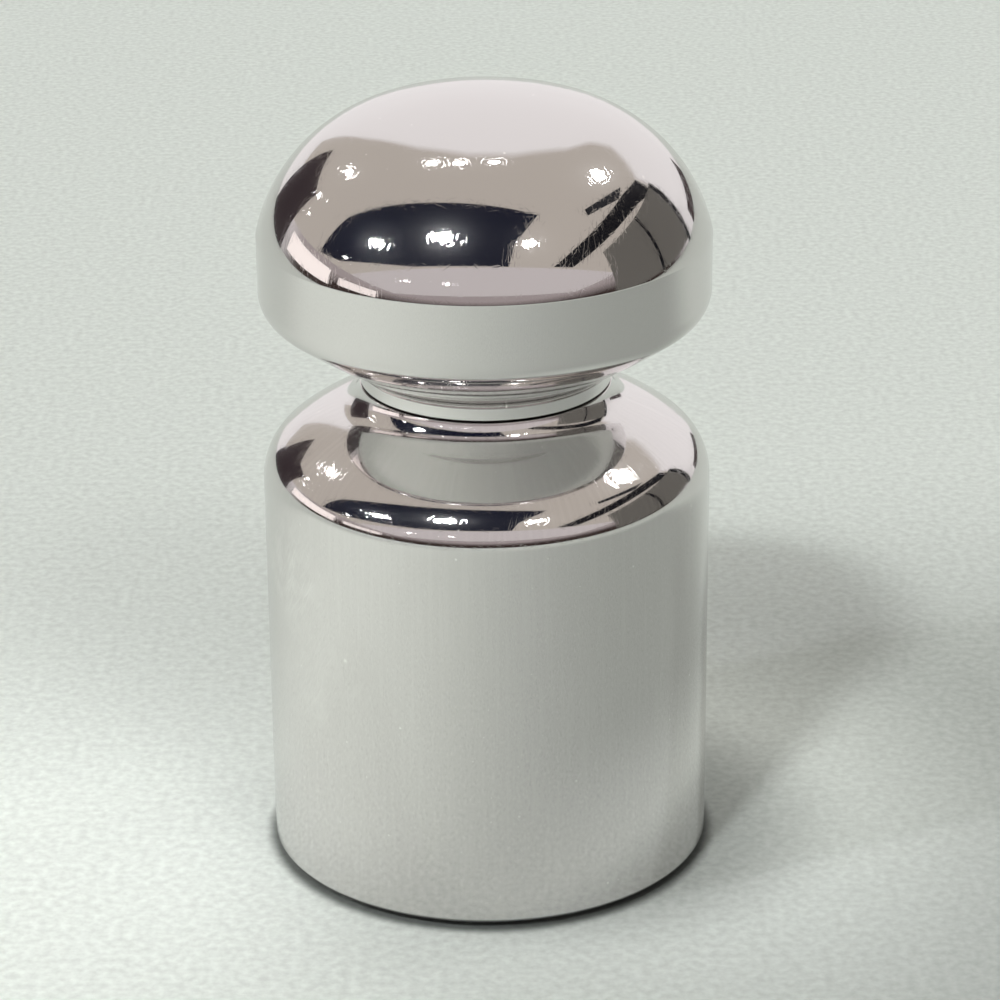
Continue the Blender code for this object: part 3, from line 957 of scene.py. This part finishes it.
class MARKER_OT_stage(bpy.types.Operator):
    """Set up the pale floor, the lamps, the flags and the camera"""

    bl_idname = "marker.stage"
    bl_label = "Stage"

    def execute(self, context):
        stage = context.scene.marker_stage
        context.scene.view_settings.view_transform = "Standard"
        self.lay_floor(stage)
        for name, corners, height, hex_colour in CEILING:
            level = [(x * LAMP_HEIGHT, y * LAMP_HEIGHT, height * LAMP_HEIGHT) for x, y in corners]
            glowing_panel(name, level, linear(hex_colour))
        self.hang_diffuser()
        for name, place, size, distance, hex_colour, strength in UPRIGHTS:
            upright = upright_corners(place, size, distance)
            glowing_panel(name, upright, linear(hex_colour), strength)
        for number, (place, diameter, watts) in enumerate(LAMPS):
            lamp = bpy.data.lights.new(f"lamp_{number}", "AREA")
            lamp.shape = "DISK"
            lamp.size = diameter * LAMP_HEIGHT
            lamp.energy = watts
            lit = bpy.data.objects.new(lamp.name, lamp)
            lit.location = Vector((*place, 1.0)) * LAMP_HEIGHT
            context.scene.collection.objects.link(lit)
        self.paint_walls(context.scene)
        self.place_camera(context.scene, stage)
        return {"FINISHED"}

    def hang_diffuser(self):
        """The diffuser and its soft edge.

        Each step lies a little higher and nearer, and is closer to the ceiling's tone.
        """
        ceiling = np.array(linear(CEILING_COLOUR))
        bright = np.array(linear(DIFFUSER_COLOUR)) * DIFFUSER_STRENGTH
        for step in range(DIFFUSER_STEPS):
            shared = step / DIFFUSER_STEPS
            nearer = step * DIFFUSER_SHIFT
            height = (DIFFUSER_HEIGHT + DIFFUSER_RISE * shared) * LAMP_HEIGHT
            corners = [(x * LAMP_HEIGHT, (y - nearer) * LAMP_HEIGHT, height) for x, y in DIFFUSER]
            glowing_panel(f"diffuser_{step}", corners, bright + shared * (ceiling - bright))

    def lay_floor(self, stage):
        """A pale matt floor with a fine grain, painted light on one side in front of the marker,
        painted shade on the other, and painted shadows at the foot.
        """
        material, tree, shader, place = new_material("pale_floor")
        grain = add_node(
            tree, "ShaderNodeTexNoise", {"Vector": place, "Scale": 1 / FLOOR_GRAIN, "Detail": 3.0}
        )
        level = add_node(
            tree, "ShaderNodeVectorMath", {0: place, 1: (1.0, 1.0, 0.0)}, operation="MULTIPLY"
        )
        bearing = add_node(tree, "ShaderNodeVectorMath", {0: level}, operation="NORMALIZE")
        facing = add_node(
            tree,
            "ShaderNodeVectorMath",
            {0: bearing, 1: FLOOR_PAINTED_LIT_SIDE},
            operation="DOT_PRODUCT",
        )
        forward = add_node(tree, "ShaderNodeSeparateXYZ", {"Vector": place}).outputs["Y"]
        in_front = add_node(
            tree,
            "ShaderNodeMapRange",
            {"Value": forward, "From Min": FLOOR_BEHIND[0], "From Max": FLOOR_BEHIND[1]},
            interpolation_type="SMOOTHSTEP",
        )
        distance = add_node(tree, "ShaderNodeVectorMath", {0: level}, operation="LENGTH")
        away = distance.outputs["Value"]
        pool = add_node(
            tree,
            "ShaderNodeMapRange",
            {"Value": away, "From Min": FLOOR_POOL[0], "From Max": FLOOR_POOL[1]},
            interpolation_type="SMOOTHSTEP",
        )
        in_front = add_node(tree, "ShaderNodeMath", {0: in_front, 1: pool}, operation="MULTIPLY")
        side = add_node(
            tree,
            "ShaderNodeMapRange",
            {"Value": facing.outputs["Value"], "From Min": -1.0, "From Max": 1.0},
        )
        side = add_node(tree, "ShaderNodeMath", {0: side, 1: FLOOR_SIDE_POWER}, operation="POWER")
        reach = add_node(
            tree, "ShaderNodeMath", {0: side, 1: FLOOR_LEAN, 2: away}, operation="MULTIPLY_ADD"
        )
        clear = add_node(
            tree,
            "ShaderNodeMapRange",
            {"Value": reach, "From Min": FLOOR_CLEAR[0], "From Max": FLOOR_CLEAR[1]},
            interpolation_type="SMOOTHSTEP",
        )
        in_front = add_node(tree, "ShaderNodeMath", {0: in_front, 1: clear}, operation="MULTIPLY")
        # Painted light on the lit side and painted shade on the other, as a share of the floor's
        # colour
        change = add_node(
            tree,
            "ShaderNodeMapRange",
            {"Value": side, "To Min": FLOOR_PAINTED_TONES[0] - 1.0, "To Max": FLOOR_PAINTED_TONES[1] - 1.0},
        )
        glow = add_node(
            tree, "ShaderNodeMath", {0: change, 1: in_front, 2: 1.0}, operation="MULTIPLY_ADD"
        )
        speckle = add_node(
            tree,
            "ShaderNodeMapRange",
            {
                "Value": grain,
                "From Min": FLOOR_GRAIN_LEVELS[0],
                "From Max": FLOOR_GRAIN_LEVELS[1],
                "To Min": FLOOR_GRAIN_TONES[0],
                "To Max": FLOOR_GRAIN_TONES[1],
            },
        )
        shade = add_node(tree, "ShaderNodeMath", {0: glow, 1: speckle}, operation="MULTIPLY")
        # Painted shadows round the foot darken the floor's colour
        for middle, (start, end), darkest in FOOT_PAINTED_SHADOWS:
            foot = add_node(
                tree, "ShaderNodeVectorMath", {0: place, 1: middle}, operation="DISTANCE"
            )
            foot = add_node(
                tree,
                "ShaderNodeMapRange",
                {
                    "Value": foot.outputs["Value"],
                    "From Min": start,
                    "From Max": end,
                    "To Min": darkest,
                },
                interpolation_type="SMOOTHSTEP",
            )
            shade = add_node(tree, "ShaderNodeMath", {0: shade, 1: foot}, operation="MULTIPLY")
        tint = add_node(
            tree, "ShaderNodeVectorMath", {0: tuple(stage.floor), "Scale": shade}, operation="SCALE"
        )
        tree.links.new(tint.outputs[0], shader.inputs["Base Color"])
        shader.inputs["Roughness"].default_value = 1.0
        shader.inputs["Specular IOR Level"].default_value = 0.0
        half = FLOOR_SIZE / 2.0
        corners = [(-half, -half, 0.0), (half, -half, 0.0), (half, half, 0.0), (-half, half, 0.0)]
        panel("floor", corners, material)

    def paint_walls(self, scene):
        """The far walls: white behind the marker, and elsewhere mauve above a dark low strip."""
        world = bpy.data.worlds.new("walls")
        scene.world = world
        world.use_nodes = True
        tree = world.node_tree
        direction = add_node(tree, "ShaderNodeTexCoord").outputs["Generated"]
        split = add_node(tree, "ShaderNodeSeparateXYZ", {"Vector": direction})
        risen = add_node(
            tree,
            "ShaderNodeMapRange",
            {"Value": split.outputs["Z"], "From Min": WALL_RISE[0], "From Max": WALL_RISE[1]},
        )
        wall_tint = add_node(
            tree,
            "ShaderNodeMix",
            {
                "Factor": risen,
                "A": (*linear(WALL_LOW_COLOUR), 1.0),
                "B": (*linear(WALL_HIGH_COLOUR), 1.0),
            },
            data_type="RGBA",
        )
        behind = add_node(
            tree,
            "ShaderNodeMapRange",
            {"Value": split.outputs["Y"], "From Min": WALL_BEHIND[0], "From Max": WALL_BEHIND[1]},
            interpolation_type="SMOOTHSTEP",
        )
        tint = add_node(
            tree,
            "ShaderNodeMix",
            {
                "Factor": behind,
                "A": wall_tint.outputs["Result"],
                "B": (*linear(DIFFUSER_COLOUR), 1.0),
            },
            data_type="RGBA",
        )
        tree.links.new(tint.outputs["Result"], tree.nodes["Background"].inputs["Color"])

    def place_camera(self, scene, stage):
        """Looks at the target from the front, at the stated elevation, distance and roll."""
        e = stage.camera_elevation
        back = Vector((0.0, -math.cos(e), math.sin(e)))
        camera = bpy.data.cameras.new("camera")
        camera.sensor_width = SENSOR_WIDTH
        camera.lens = stage.focal_length
        camera.clip_start = CLIP_START
        eye = bpy.data.objects.new("camera", camera)
        turn = back.to_track_quat("Z", "Y").to_matrix() @ Matrix.Rotation(stage.camera_roll, 3, "Z")
        place = Vector((stage.target_x, 0.0, stage.target_z)) + back * stage.camera_distance
        eye.matrix_world = Matrix.Translation(place) @ turn.to_4x4()
        scene.collection.objects.link(eye)
        scene.camera = eye


class MARKER_PT_sidebar(bpy.types.Panel):
    """Lists the pieces and their sizes"""

    bl_idname = "MARKER_PT_sidebar"
    bl_label = "Roulette Win Marker"
    bl_space_type = "VIEW_3D"
    bl_region_type = "UI"
    bl_category = "Marker"

    def draw(self, context):
        for operator in OPERATORS:
            self.layout.operator(operator.bl_idname)
        for name in GROUPS:
            group = getattr(context.scene, name)
            column = self.layout.column(align=True)
            for setting in group.__annotations__:
                column.prop(group, setting)


OPERATORS = (MARKER_OT_base, MARKER_OT_knob, MARKER_OT_pad, MARKER_OT_fixings, MARKER_OT_stage)
GROUPS = {
    "marker_sizes": MarkerSizes,
    "marker_finish": MarkerFinish,
    "marker_stage": MarkerStage,
}
CLASSES = (*GROUPS.values(), *OPERATORS, MARKER_PT_sidebar)


def register():
    """Adds the classes, and each group of settings to the scene."""
    for entry in CLASSES:
        bpy.utils.register_class(entry)
    for name, group in GROUPS.items():
        setattr(bpy.types.Scene, name, PointerProperty(type=group))


def unregister():
    """Takes away all that register adds."""
    for name in GROUPS:
        delattr(bpy.types.Scene, name)
    for entry in reversed(CLASSES):
        bpy.utils.unregister_class(entry)


def main():
    """Builds every piece and the stage."""
    register()
    bpy.ops.marker.base()
    bpy.ops.marker.knob()
    bpy.ops.marker.pad()
    bpy.ops.marker.fixings()
    bpy.ops.marker.stage()


if __name__ == "__main__":
    main()
